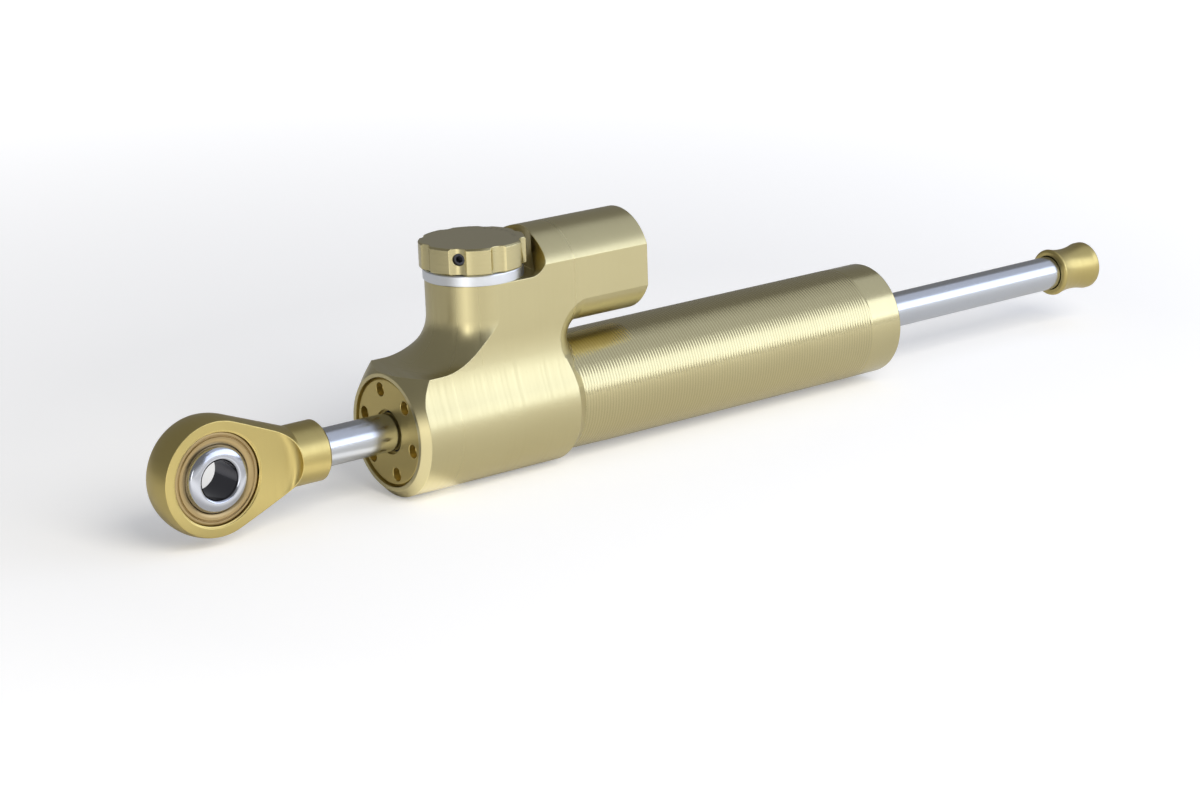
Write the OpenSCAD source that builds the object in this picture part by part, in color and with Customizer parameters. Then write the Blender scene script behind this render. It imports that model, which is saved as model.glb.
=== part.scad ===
// Motorcycle steering damper: through-rod hydraulic damper with an adjuster tower and a reservoir.
// Units are millimetres. X runs along the rod towards the rear end, Z runs up the adjuster tower.
// The origin is the centre of the ball in the rod end. Every piece stands where it sits in the
// photograph: the rod is almost fully pushed in at the front.

/* [Rod end] */
// Radius of the turned ball of the rod end
eye_r = 12.3; // [11.5:0.1:14]
// Thickness between the two milled flats
eye_t = 7.6; // [7:0.1:9]
// Angle of the cone from the ball to the shank, in degrees
eye_cone = 21; // [18:0.5:24]
// Radius of the shank
shank_r = 6.3; // [5.5:0.1:7]
// Ball centre to the end of the shank
shank_end = 25; // [23:0.5:30]
// Outer radius of the bronze race
race_r = 9.5; // [9:0.1:10]
// Width of the race
race_w = 6.5; // [5:0.1:6.8]
// Radius of the steel ball
ball_r = 7.6; // [7:0.1:8]
// Width of the steel ball over its flat ends
ball_w = 9.4; // [8:0.1:10]
// Radius of the bolt hole in the ball
bore_r = 4; // [3:0.1:4.5]

/* [Rod] */
// Radius of the polished rod
rod_r = 4; // [3.5:0.1:4.5]
// Bare rod between the shank and the head
rod_front = 17; // [16.5:0.5:30]
// Bare rod between the tube and the rear end cap
rod_rear = 61.3; // [61:0.5:80]
// Largest radius of the rear end cap
cap_r = 5.6; // [5.2:0.1:7]
// Length of the rear end cap
cap_len = 12.4; // [11:0.2:16]
// Depth of the waist of the rear end cap
cap_waist = 0.65; // [0.3:0.05:0.8]

/* [Tube] */
// Radius of the outer tube
tube_r = 12.6; // [12.2:0.1:13]
// Wall of the outer tube
tube_wall = 1.3; // [1:0.1:1.4]
// Head front to the rear end of the tube
tube_end = 132.5; // [130:0.5:150]
// Gap for the oil between the outer tube and the inner cylinder
oil_gap = 1.1; // [0.9:0.1:1.4]
// Wall of the inner cylinder
cyl_wall = 1.2; // [0.8:0.1:1.3]

/* [Head] */
// Radius of the round lower body
head_r = 13.9; // [13.6:0.1:15]
// Length of the lower body
head_len = 39.5; // [39:0.5:42]
// Length of the bevel round the tube behind it
rim_len = 2.3; // [1.8:0.1:2.6]
// Half width between the flat sides
side_y = 10.1; // [10:0.1:10.5]
// Height where the flat sides start to sweep out
blend_z = 17.7; // [16.5:0.1:19]
// Height of the flat on top of the nose
nose_z = 12.4; // [12:0.1:13]
// Radius of the hollow at the foot of the tower
nose_fillet = 9.2; // [8:0.1:9.4]
// Head front to the axis of the tower
tower_x = 23.3; // [22.8:0.1:24]
// Radius of the tower
tower_r = 10.15; // [10.15:0.05:10.5]
// Height of the top of the tower
tower_z = 28.9; // [28.5:0.1:30]
// Radius of the gland face where the bevel of the nose starts
nose_r = 12.3; // [12:0.1:13]
// Radius of the hollow behind the web
notch_r = 8.55; // [8.4:0.05:8.6]
// Height of the centre of that hollow
notch_z = 13.6; // [13.5:0.05:13.7]

/* [Reservoir] */
// Radius of the reservoir barrel
res_r = 11.05; // [10.8:0.05:11.5]
// Height of its axis
res_z = 26.5; // [26.2:0.1:27.5]
// Head front to its rear end
res_end = 61.2; // [59:0.2:70]
// Bore radius of the reservoir
res_bore = 8.6; // [8:0.1:8.8]
// Radius of the round pocket that clears the knob
pocket_r = 12.5; // [12:0.1:13]
// Tower axis to the straight wall in front of the reservoir
pocket_x = 11.6; // [11:0.1:12]
// Radius of the corner at the foot of that wall
pocket_f = 4.2; // [2:0.1:5]

/* [Adjuster] */
// Height of the pale ring under the knob
ring_h = 2.4; // [2.2:0.1:2.6]
// Radius of that ring
ring_r = 10.45; // [10:0.05:10.6]
// Radius of the knob
knob_r = 11.1; // [10.8:0.1:11.5]
// Height of the knob
knob_h = 5.45; // [5.2:0.05:6.5]
// Number of finger hollows in the rim of the knob
scallops = 8; // [6:1:12]
// Depth of a finger hollow
scallop_d = 0.9; // [0.4:0.1:1.2]
// Number of clicks in one turn
clicks = 24; // [12:2:24]
// Radius of the knob's set screw
screw_r = 1.25; // [1:0.05:1.4]

/* [Piston] */
// Piston centre to the ball centre
piston_x = 138; // [137:0.5:142]
// Width of the piston
piston_w = 10; // [9:0.5:11]

/* [Hidden] */
$fn = 96;
// Clearance of a running fit, on the radius
run = 0.03;
gold = "#cfc294";
gold_matte = "#b9ab6c";
chrome = "#c9ccd6";
steel = "#a9acb4";
dark_steel = "#34343a";
bronze = "#a98b5c";
brass = "#c7a24a";
pale = "#cfd0de";
rubber = "#1e1e1f";
plastic = "#e6e2d6";

// Main stations along X
head_x = shank_end + rod_front;
head_end = head_x + head_len;
tx = head_x + tower_x;
tube_x1 = head_x + tube_end;
cap_x0 = tube_x1 + rod_rear;
cap_x1 = cap_x0 + cap_len;
res_x1 = head_x + res_end;

// Rod end: the cone leaves the ball on a tangent and the flats stop in a round shoulder
cone_x0 = eye_r * sin(eye_cone);
cone_r0 = eye_r * cos(eye_cone);
cone_x1 = cone_x0 + (cone_r0 - shank_r) / tan(eye_cone);
shoulder_f = 2.2;
shoulder_arc = 11;
shoulder_r = shoulder_arc + shoulder_f;
shoulder_x = cone_x1 - 2.1 - shoulder_arc;
stud_r = rod_r - 0.6;
stud_x = race_r + 3;

// Glands, bushes and seals, measured from the face of each gland
gland_r = 11.5;
gland_len = 13.2;
gland_x0 = head_x + 0.45;
gland_x1 = gland_x0 + gland_len;
pin_edge = 2.6;
pin_r = 1.45;
pin_depth = 1.6;
wiper_at = 1.3;
wiper_w = 2.4;
seal_at = 5.1;
seal_w = 3.2;
bush_at = 9.2;
wiper_r = rod_r + 2.3;
seal_r = rod_r + 3;
bush_r = rod_r + 1;
tube_in = tube_r - tube_wall;
cyl_out = tube_in - oil_gap;
cyl_r = cyl_out - cyl_wall;
spigot_r = tube_r - 0.2;
rear_x1 = tube_x1 - 0.8;
rear_x0 = rear_x1 - gland_len;
gallery_x0 = gland_x1 + 6;
tube_x0 = head_end - 6;
port_x = gland_x1 + 4;
ring_sec = 0.48;

// Rear end cap: the waist is part of a circle that spans most of its length
cap_f = 0.7;
waist_c = cap_len * 0.4;
waist_r = (waist_c * waist_c + cap_waist * cap_waist) / (2 * cap_waist);

// Piston
groove_r = cyl_r - 1;
band_w = piston_w / 2;
pis_x0 = piston_x - piston_w / 2;
pis_x1 = piston_x + piston_w / 2;
clip_w = 0.8;

// Cross-section of the head: the flat sides sweep out into the round body
sweep_r = (blend_z * blend_z + side_y * side_y - head_r * head_r) / (2 * (head_r - side_y));
sweep_y = side_y + sweep_r;
sweep_k = head_r / (head_r + sweep_r);

// Rear edge of the head: a bevel round the tube below, a slanted bevel beside it, and above it a
// hollow whose edge has the reservoir's own arc. The slant is turned about an axis far below.
rim_end = head_end + rim_len;
neck_end = head_end + 7;
edge_in = sqrt(res_r * res_r - side_y * side_y);
notch_cx = head_end + 6.5;
slant_x = head_end - 66.58;
slant_z = -44.14;
slant_z0 = 4.3;
slant_z1 = 10.6;
slant = [[81.2, 14.2], [83.3, 12.5], [84.82, 11.25], [85.1, 11.03], [85.1, 10.1], [86.01, 9.5],
    [86.66, 9], [87.23, 8.5], [87.93, 7.8], [88.57, 7.1], [89.4, 6]];

// Adjuster levels
seat_z0 = 15;
seat_z1 = seat_z0 + 3.2;
throat_z = seat_z0 + 2.25;
throat_r = 0.8;
passage_z = 13.6;
bush_z0 = 19.5;
adj_r = 5.5;
bush_z1 = tower_z + 1;
hex_af = 5;
shaft_r = 2.5;
clip_z = 23.9;
knob_z0 = tower_z + ring_h + 0.15;
knob_z1 = knob_z0 + knob_h;
shaft_top = knob_z1 - 1.3;
screw_z = knob_z0 + 3.15;
screw_a = 219;
scallop_r = 2.6;
detent_at = 7.6;
detent_ball_r = 0.8;
detent_z = knob_z0 - 0.05 - detent_ball_r;
detent_z0 = tower_z - 4.4;
detent_x = tx - detent_at;

// Relief valve behind the tower
relief_x = tx + 7.9;
relief_r = 2;
relief_z = tube_r + 0.2;
relief_seat_t = 1.4;
poppet_z1 = relief_z + 3.8;
relief_top = poppet_z1 + 3.3;
drain_z = 18.7;

// Reservoir
res_x0 = tx + 17.5;
float_gap = 5;
float_x0 = res_x0 + float_gap;
float_w = 5;
float_mid = float_x0 + float_w / 2;
lid_w = 3.4;
lid_x1 = res_x1 - 1.2;
lid_x0 = lid_x1 - lid_w;
lid_ring_x = lid_x0 + 1.5;
ring_groove = 1.4;
clip_gap = 5;
plug_r = 2.5;
plug_hex_depth = 1.7;

// A solid cylinder along X
module bar_x(x0, x1, r) translate([x0, 0, 0]) rotate([0, 90, 0]) cylinder(h = x1 - x0, r = r);

// A hollow cylinder along X
module ring_x(x0, x1, r0, r1) difference() {
    bar_x(x0, x1, r1);
    bar_x(x0 - 1, x1 + 1, r0);
}

// A profile of [radius, x] points turned about X
module turned_x(points) rotate([0, 90, 0]) rotate_extrude() polygon(points);

// A round-section ring about X
module oring_x(x, r, sec) translate([x, 0, 0]) rotate([0, 90, 0]) rotate_extrude()
    translate([r, 0]) circle(r = sec);

// A solid cylinder along Z
module post(x, y, z0, z1, r) translate([x, y, z0]) cylinder(h = z1 - z0, r = r);

// Snap ring about X with the gap at its top
module snap_ring_x(x0, x1, r0, r1, gap) difference() {
    ring_x(x0, x1, r0, r1);
    translate([x0 - 1, -gap / 2, 0]) cube([x1 - x0 + 2, gap, r1 + 1]);
}

// Coil spring along Z: one tube of 6 sides swept round with 10 steps a turn
module coil(r, wire, z0, z1, turns) {
    steps = turns * 10;
    rise = (z1 - z0 - 2 * wire) / steps;
    last = steps * 6;
    points = [for (i = [0:steps], k = [0:5])
        let (a = i * 36, q = r + wire * cos(k * 60))
        [q * cos(a), q * sin(a), z0 + wire + i * rise + wire * sin(k * 60)]];
    sides = [for (i = [0:steps - 1], k = [0:5], t = [0, 1])
        let (a = i * 6 + k, b = i * 6 + (k + 1) % 6)
        t == 0 ? [a, b + 6, a + 6] : [a, b, b + 6]];
    ends = [for (k = [1:4], t = [0, 1]) t == 0 ? [k + 1, k, 0] : [last, last + k, last + k + 1]];
    polyhedron(points = points, faces = concat(sides, ends));
}

// The cutter that mills one flat of the rod end and leaves the round shoulder
module flat_cutter() {
    translate([-eye_r - 1, eye_t / 2, -eye_r - 1])
        cube([eye_r + 1 + shoulder_x, 20, 2 * eye_r + 2]);
    translate([shoulder_x, eye_t / 2, 0]) rotate([-90, 0, 0]) rotate_extrude() {
        square([shoulder_r - shoulder_f, 20]);
        translate([0, shoulder_f]) square([shoulder_r, 20]);
        translate([shoulder_r - shoulder_f, shoulder_f]) circle(r = shoulder_f);
    }
}

module rod_end_housing() color(gold_matte) difference() {
    union() {
        sphere(r = eye_r);
        translate([cone_x0, 0, 0]) rotate([0, 90, 0])
            cylinder(h = cone_x1 - cone_x0, r1 = cone_r0, r2 = shank_r);
        turned_x([[0, 0], [shank_r, 0], [shank_r, shank_end - 0.5],
            [shank_r - 0.5, shank_end], [0, shank_end]]);
    }
    flat_cutter();
    mirror([0, 1, 0]) flat_cutter();
    rotate([90, 0, 0]) cylinder(h = 2 * eye_r, r = race_r, center = true);
    for (s = [-1, 1]) translate([0, s * eye_t / 2, 0]) rotate([90, 0, 0])
        cylinder(h = 0.5, r = race_r + 0.3, center = true);
    bar_x(stud_x - 6, shank_end + 1, stud_r);
}

module rod_end_race() color(bronze) rotate([90, 0, 0]) difference() {
    rotate_extrude() polygon([[4, -race_w / 2], [race_r - 0.4, -race_w / 2],
        [race_r, 0.4 - race_w / 2], [race_r, race_w / 2 - 0.4],
        [race_r - 0.4, race_w / 2], [4, race_w / 2]]);
    sphere(r = ball_r + run);
}

module rod_end_ball() color(steel) rotate([90, 0, 0]) difference() {
    intersection() {
        sphere(r = ball_r);
        cylinder(h = ball_w, r = ball_r + 1, center = true);
    }
    cylinder(h = ball_w + 2, r = bore_r, center = true);
    for (s = [0, 1]) mirror([0, 0, s]) translate([0, 0, ball_w / 2 - 0.35])
        cylinder(h = 0.7, r1 = bore_r, r2 = bore_r + 0.7);
}

// One through rod: a stud in the rod end, two snap ring grooves and a stud in the rear cap
module piston_rod() color(chrome) turned_x([[0, stud_x], [stud_r, stud_x],
    [stud_r, shank_end], [rod_r, shank_end],
    [rod_r, pis_x0 - clip_w], [rod_r - 0.5, pis_x0 - clip_w],
    [rod_r - 0.5, pis_x0], [rod_r, pis_x0],
    [rod_r, pis_x1], [rod_r - 0.5, pis_x1],
    [rod_r - 0.5, pis_x1 + clip_w], [rod_r, pis_x1 + clip_w],
    [rod_r, cap_x0 + 3], [rod_r - 1, cap_x0 + 3.4],
    [rod_r - 1, cap_x1 - 3], [0, cap_x1 - 3]]);

module piston() color(steel) difference() {
    ring_x(pis_x0, pis_x1, rod_r, cyl_r - 0.15);
    ring_x(piston_x - band_w / 2, piston_x + band_w / 2, groove_r, cyl_r + 1);
    ring_x(piston_x - 0.8, piston_x + 0.8, groove_r - 1, groove_r + 1);
}

module piston_circlips() color(dark_steel) {
    snap_ring_x(pis_x0 - clip_w, pis_x0, rod_r - 0.5, rod_r + 1.1, 2);
    snap_ring_x(pis_x1, pis_x1 + clip_w, rod_r - 0.5, rod_r + 1.1, 2);
}

module piston_oring() color(rubber) oring_x(piston_x, groove_r - 0.5, ring_sec);

module piston_band() color(plastic)
    ring_x(piston_x - band_w / 2 + 0.1, piston_x + band_w / 2 - 0.1, groove_r + 0.05, cyl_r - run);

// Waisted cap: the rod runs into a wider mouth and screws in behind it
module rear_end_cap() color(gold_matte) difference() {
    rotate([0, 90, 0]) rotate_extrude() difference() {
        union() {
            translate([0, cap_x0 + cap_f]) square([cap_r, cap_len - 2 * cap_f]);
            translate([0, cap_x0]) square([cap_r - cap_f, cap_len]);
            translate([cap_r - cap_f, cap_x0 + cap_f]) circle(r = cap_f);
            translate([cap_r - cap_f, cap_x1 - cap_f]) circle(r = cap_f);
        }
        translate([cap_r - cap_waist + waist_r, cap_x0 + cap_len * 0.46]) circle(r = waist_r);
    }
    bar_x(cap_x0 - 1, cap_x0 + 3, rod_r + 0.2);
    turned_x([[0, cap_x0 + 2], [rod_r, cap_x0 + 2], [rod_r, cap_x0 + 3],
        [rod_r - 1, cap_x0 + 3.4], [rod_r - 1, cap_x1 - 3], [0, cap_x1 - 3]]);
}

// Cross-section of the lower body and web, drawn as [-z, y] for the turn onto X
module head_section() {
    circle(r = head_r);
    difference() {
        translate([-blend_z, -sweep_y * sweep_k])
            square([blend_z * (1 - sweep_k), 2 * sweep_y * sweep_k]);
        for (s = [-1, 1]) translate([-blend_z, s * sweep_y]) circle(r = sweep_r);
    }
    translate([-tower_z, -side_y]) square([tower_z, 2 * side_y]);
}

// A block over the head between two heights
module level(z0, z1, x1) translate([tx, -20, z0]) cube([x1 - tx, 40, z1 - z0]);

// The hollow behind the web, with the reservoir's arc along its edge
module hollow_cutter() translate([notch_cx, 0, notch_z]) rotate([90, 0, 0]) rotate_extrude()
    difference() {
        translate([0, -head_r - 1]) square([notch_r, 2 * head_r + 2]);
        translate([notch_r + edge_in, 0]) circle(r = res_r);
    }

// All that the rear edge leaves of the head behind the tower axis
module rear_form() {
    intersection() {
        turned_x([[0, tx], [head_r + 1, tx], [head_r + 1, head_end - rim_len / (head_r - tube_r)],
            [tube_r, rim_end], [0, rim_end]]);
        level(-20, slant_z0, rim_end + 1);
    }
    intersection() {
        translate([slant_x, 0, slant_z]) rotate([90, 0, 0]) rotate_extrude()
            polygon(concat([[0, 14.2]], slant, [for (k = [len(slant) - 1:-1:0])
                [slant[k][0], -slant[k][1]]], [[0, -14.2]]));
        level(slant_z0 - 0.05, slant_z1, notch_cx);
    }
    difference() {
        level(slant_z1 - 0.05, tower_z + 1, notch_cx);
        hollow_cutter();
    }
}

// The milled shape turned about the tower axis: tower, hollow foot and flat nose
module tower_form() translate([tx, 0, 0]) rotate_extrude() {
    translate([0, -20]) square([45, nose_z + 20]);
    square([tower_r, tower_z]);
    difference() {
        translate([0, nose_z]) square([tower_r + nose_fillet, nose_fillet]);
        translate([tower_r + nose_fillet, nose_z + nose_fillet]) circle(r = nose_fillet);
    }
}

module head_outside() {
    intersection() {
        translate([head_x, 0, 0]) rotate([0, 90, 0]) linear_extrude(tower_x) head_section();
        tower_form();
    }
    intersection() {
        translate([tx, 0, 0]) rotate([0, 90, 0]) linear_extrude(notch_cx - tx) head_section();
        rear_form();
    }
    intersection() {
        translate([0, 0, res_z]) bar_x(tx, res_x1, res_r);
        translate([tx - 1, -side_y, 0]) cube([res_x1 - tx + 2, 2 * side_y, res_z + res_r + 1]);
    }
}

// A round cut that clears the knob, and a straight one with a round corner before the reservoir
module pocket_cutter() {
    post(tx, 0, tower_z, tower_z + 12, pocket_r);
    translate([tx, 0, tower_z]) rotate([90, 0, 0])
        linear_extrude(2 * head_r, center = true) {
            translate([-pocket_r, 0]) square([pocket_r + pocket_x - pocket_f, 12]);
            translate([0, pocket_f]) square([pocket_x, 12 - pocket_f]);
            translate([pocket_x - pocket_f, pocket_f]) circle(r = pocket_f);
        }
}

module head_block() color(gold) difference() {
    head_outside();
    pocket_cutter();
    turned_x([[nose_r - 1, head_x - 1], [nose_r + 8, head_x + 8], [40, head_x + 8],
        [40, head_x - 1]]);
    // bores for the gland, the inner cylinder, the oil gallery and the outer tube
    bar_x(head_x - 1, gland_x1, gland_r);
    bar_x(gland_x1 - 1, gallery_x0 + 1, cyl_out);
    bar_x(gland_x1 + 0.8, gland_x1 + 2.4, cyl_out + 0.95);
    bar_x(gallery_x0, tube_x0 + 1, tube_in);
    bar_x(tube_x0, notch_cx + 1, spigot_r);
    // oil passages to and from the needle seat
    post(port_x, 0, 5, passage_z, 1.1);
    translate([0, 0, passage_z]) bar_x(port_x, tx, 1.1);
    post(tx, 0, passage_z - 0.6, seat_z0 + 1, 1.6);
    post(tx, 0, seat_z0, bush_z0 + 1, 3);
    post(tx, 5, 8, bush_z0 - 0.4, 1.1);
    translate([tx, 0, bush_z0 - 0.65]) rotate([-90, 0, 0]) cylinder(h = 5, r = 0.5);
    post(tx, 0, bush_z0, tower_z + 1, adj_r);
    post(detent_x, 0, detent_z0, tower_z + 1, detent_ball_r + 0.05);
    // relief valve bore and its way into the reservoir
    post(relief_x, 0, 8, relief_top, relief_r);
    translate([0, 0, drain_z]) bar_x(relief_x, res_x0 + 0.5, 0.5);
    translate([0, 0, res_z]) {
        bar_x(res_x0, res_x1 + 1, res_bore);
        bar_x(lid_x1, lid_x1 + clip_w, res_bore + 0.5);
    }
}

// Its turned-down spigot sits inside the head
module damper_tube() color(gold) turned_x([[tube_in, tube_x0], [spigot_r, tube_x0],
    [spigot_r, neck_end], [tube_r, neck_end], [tube_r, tube_x1 - 0.3],
    [tube_r - 0.3, tube_x1], [tube_in, tube_x1]]);

module inner_cylinder() color(steel) difference() {
    ring_x(gland_x1, rear_x0, cyl_r, cyl_out);
    post(port_x, 0, 0, cyl_out + 1, 1.1);
    for (a = [0:90:270]) rotate([a, 0, 0]) post(rear_x0 - 2.4, 0, 0, cyl_out + 1, 1);
}

module cylinder_oring() color(rubber)
    oring_x(gland_x1 + 1.6, cyl_out + 0.47, 0.46);

// Screwed gland, drawn with its outer face at x = 0
module gland(out_r) difference() {
    turned_x([[0, 0], [out_r - 0.6, 0], [out_r, 0.6], [out_r, gland_len], [0, gland_len]]);
    bar_x(-1, gland_len + 1, rod_r + 0.3);
    bar_x(-1, 0.9, rod_r + 0.7);
    bar_x(wiper_at, wiper_at + wiper_w, wiper_r);
    bar_x(seal_at, seal_at + seal_w, seal_r);
    bar_x(bush_at, gland_len + 1, bush_r);
    ring_x(6.2, 7.8, out_r - 0.95, out_r + 1);
    for (k = [0:5]) rotate([15 + 60 * k, 0, 0]) translate([0, out_r - pin_edge, 0])
        turned_x([[0, -1], [pin_r, -1], [pin_r, pin_depth], [0, pin_depth + pin_r * 0.6]]);
}

module gland_oring(out_r) oring_x(7, out_r - 0.47, 0.46);

module bush() ring_x(bush_at, gland_len, rod_r + run, bush_r);

// Lip seal with a V groove towards the oil
module rod_seal() turned_x([[rod_r + run, seal_at], [seal_r, seal_at],
    [seal_r, seal_at + seal_w], [seal_r - 0.9, seal_at + seal_w],
    [rod_r + 1.5, seal_at + 1.6], [rod_r + 0.8, seal_at + seal_w],
    [rod_r + run, seal_at + seal_w]]);

module wiper() turned_x([[rod_r + run, wiper_at], [rod_r + 0.9, wiper_at],
    [rod_r + 1.2, wiper_at + 0.9], [wiper_r, wiper_at + 0.9], [wiper_r, wiper_at + wiper_w],
    [rod_r + 0.6, wiper_at + wiper_w], [rod_r + run, wiper_at + 0.7]]);

module at_front() translate([gland_x0, 0, 0]) children();
module at_rear() translate([rear_x1, 0, 0]) mirror([1, 0, 0]) children();

module front_gland() color(gold_matte) at_front() gland(gland_r);
module front_gland_oring() color(rubber) at_front() gland_oring(gland_r);
module front_bush() color(bronze) at_front() bush();
module front_rod_seal() color(rubber) at_front() rod_seal();
module front_wiper() color(rubber) at_front() wiper();
module rear_gland() color(gold_matte) at_rear() gland(tube_in);
module rear_gland_oring() color(rubber) at_rear() gland_oring(tube_in);
module rear_bush() color(bronze) at_rear() bush();
module rear_rod_seal() color(rubber) at_rear() rod_seal();
module rear_wiper() color(rubber) at_rear() wiper();

// Guides the shaft above and the hexagon of the needle below
module adjuster_bush() color(brass) difference() {
    union() {
        post(tx, 0, bush_z0, tower_z, adj_r);
        post(tx, 0, tower_z, bush_z1, adj_r + 0.6);
    }
    post(tx, 0, bush_z0 - 1, clip_z, hex_af / 2 / cos(30), $fn = 6);
    post(tx, 0, clip_z - 0.5, clip_z + 0.7, shaft_r + 1.2);
    post(tx, 0, clip_z, bush_z1 + 1, shaft_r + run);
    post(tx, 0, bush_z1 - 3.6, bush_z1 - 2, shaft_r + 1);
    difference() {
        post(tx, 0, bush_z0 + 1.4, bush_z0 + 3, adj_r + 1);
        post(tx, 0, bush_z0 + 1, bush_z0 + 4, adj_r - 0.95);
    }
}

module adjuster_bush_oring() color(rubber) translate([tx, 0, bush_z0 + 2.2])
    rotate_extrude() translate([adj_r - 0.47, 0]) circle(r = 0.46);

module shaft_oring() color(rubber) translate([tx, 0, bush_z1 - 2.8])
    rotate_extrude() translate([shaft_r + run + 0.47, 0]) circle(r = 0.46);

module tower_ring() color(pale) difference() {
    translate([tx, 0, tower_z]) rotate_extrude() polygon([[adj_r + 0.8, 0],
        [ring_r - 0.2, 0], [ring_r, 0.2], [ring_r, ring_h - 0.2],
        [ring_r - 0.2, ring_h], [adj_r + 0.8, ring_h]]);
    post(detent_x, 0, tower_z - 1, tower_z + 5, detent_ball_r + 0.05);
}

module valve_seat() color(brass) difference() {
    post(tx, 0, seat_z0, seat_z1, 3);
    post(tx, 0, seat_z0 - 1, seat_z1 + 1, throat_r);
    translate([tx, 0, throat_z]) cylinder(h = 2, r1 = throat_r, r2 = throat_r + 1.5);
}

module adjuster_knob() color(gold) difference() {
    translate([tx, 0, knob_z0]) rotate_extrude() polygon([[0, 0], [knob_r - 0.2, 0],
        [knob_r, 0.2], [knob_r, knob_h - 0.35], [knob_r - 0.35, knob_h], [0, knob_h]]);
    for (k = [1:scallops]) translate([tx, 0, 0]) rotate([0, 0, screw_a + k * 360 / scallops])
        post(knob_r - scallop_d + scallop_r, 0, knob_z0 - 1, knob_z1 + 1, scallop_r);
    post(tx, 0, knob_z0 - 1, shaft_top, shaft_r);
    translate([tx, 0, screw_z]) rotate([0, 0, screw_a]) bar_x(shaft_r - 0.1, knob_r + 1, screw_r);
    for (k = [1:clicks]) translate([tx, 0, knob_z0 - 0.5]) rotate([0, 0, k * 360 / clicks])
        translate([detent_at, 0, 0]) sphere(r = detent_ball_r + 0.15);
}

module knob_set_screw() color(dark_steel) translate([tx, 0, screw_z]) rotate([0, 0, screw_a])
    difference() {
        bar_x(shaft_r, knob_r - scallop_d - 0.4, screw_r);
        translate([knob_r - scallop_d - 2.2, 0, 0]) rotate([0, 90, 0])
            cylinder(h = 4, r = screw_r * 0.6, $fn = 6);
    }

module adjuster_shaft() color(steel) difference() {
    union() {
        post(tx, 0, clip_z - 0.3, shaft_top, shaft_r);
        post(tx, 0, bush_z1 + 0.05, bush_z1 + 1.05, shaft_r + 1.1);
    }
    difference() {
        post(tx, 0, clip_z, clip_z + 0.6, shaft_r + 1);
        post(tx, 0, clip_z - 1, clip_z + 1, shaft_r - 0.5);
    }
    post(tx, 0, clip_z - 1, 28.4, 1.35);
}

module shaft_circlip() color(dark_steel) difference() {
    post(tx, 0, clip_z, clip_z + 0.6, shaft_r + 0.9);
    post(tx, 0, clip_z - 1, clip_z + 1, shaft_r - 0.5);
    translate([tx, -0.8, clip_z - 1]) cube([5, 1.6, 3]);
}

// Threaded stud above, hexagon guide in the middle and conical tip below
module needle_valve() color(steel) {
    translate([tx, 0, seat_z0 + 2]) cylinder(h = 1.6, r1 = 0.2, r2 = 1.4);
    post(tx, 0, seat_z0 + 3.6, bush_z0 + 1, 1.4);
    post(tx, 0, bush_z0 + 0.7, bush_z0 + 3.1, (hex_af / 2 - run) / cos(30), $fn = 6);
    post(tx, 0, bush_z0 + 3, 27, 1.3);
}

module detent_ball() color(steel) translate([detent_x, 0, detent_z]) sphere(r = detent_ball_r);

module detent_spring() color(dark_steel) translate([detent_x, 0, 0])
    coil(0.55, 0.12, detent_z0, detent_z - detent_ball_r, 8);

module relief_seat() color(brass) difference() {
    post(relief_x, 0, relief_z, relief_z + relief_seat_t, relief_r);
    post(relief_x, 0, relief_z - 1, relief_z + relief_seat_t + 1, 0.8);
}

module relief_poppet() color(steel) {
    translate([relief_x, 0, relief_z + relief_seat_t + 0.05]) cylinder(h = 0.4, r1 = 1, r2 = 1.4);
    post(relief_x, 0, relief_z + relief_seat_t + 0.4, poppet_z1, relief_r - 0.05);
}

module relief_spring() color(dark_steel) translate([relief_x, 0, 0])
    coil(1.3, 0.2, poppet_z1, relief_top, 5);

module floating_piston() color(plastic) translate([0, 0, res_z]) difference() {
    bar_x(float_x0, float_x0 + float_w, res_bore - 0.04);
    ring_x(float_mid - ring_groove / 2, float_mid + ring_groove / 2, res_bore - 1, res_bore + 1);
    bar_x(float_x0 + 1.4, float_x0 + float_w + 1, res_bore - 2.2);
}

module floating_piston_oring() color(rubber) translate([0, 0, res_z])
    oring_x(float_mid, res_bore - 0.52, 0.47);

module reservoir_lid() color(gold) translate([0, 0, res_z]) difference() {
    bar_x(lid_x0, lid_x1, res_bore);
    ring_x(lid_ring_x - ring_groove / 2, lid_ring_x + ring_groove / 2, res_bore - 0.95, res_bore + 1);
    bar_x(lid_x0 - 1, lid_x1 + 1, plug_r);
}

module reservoir_lid_oring() color(rubber) translate([0, 0, res_z])
    oring_x(lid_ring_x, res_bore - 0.47, 0.46);

module reservoir_circlip() color(dark_steel) translate([0, 0, res_z])
    snap_ring_x(lid_x1, lid_x1 + clip_w, res_bore - 1.1, res_bore + 0.5, clip_gap);

module gas_plug() color(dark_steel) translate([0, 0, res_z]) difference() {
    bar_x(lid_x0 + 0.4, lid_x1 - 0.3, plug_r);
    translate([lid_x1 - 0.3 - plug_hex_depth, 0, 0]) rotate([0, 90, 0])
        cylinder(h = plug_hex_depth + 1, r = 1.45, $fn = 6);
}

rod_end_housing();
rod_end_race();
rod_end_ball();
piston_rod();
piston();
piston_circlips();
piston_oring();
piston_band();
rear_end_cap();
head_block();
damper_tube();
inner_cylinder();
cylinder_oring();
front_gland();
front_gland_oring();
front_bush();
front_rod_seal();
front_wiper();
rear_gland();
rear_gland_oring();
rear_bush();
rear_rod_seal();
rear_wiper();
adjuster_bush();
adjuster_bush_oring();
shaft_oring();
tower_ring();
valve_seat();
adjuster_knob();
knob_set_screw();
adjuster_shaft();
shaft_circlip();
needle_valve();
detent_ball();
detent_spring();
relief_seat();
relief_poppet();
relief_spring();
floating_piston();
floating_piston_oring();
reservoir_lid();
reservoir_lid_oring();
reservoir_circlip();
gas_plug();
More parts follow.
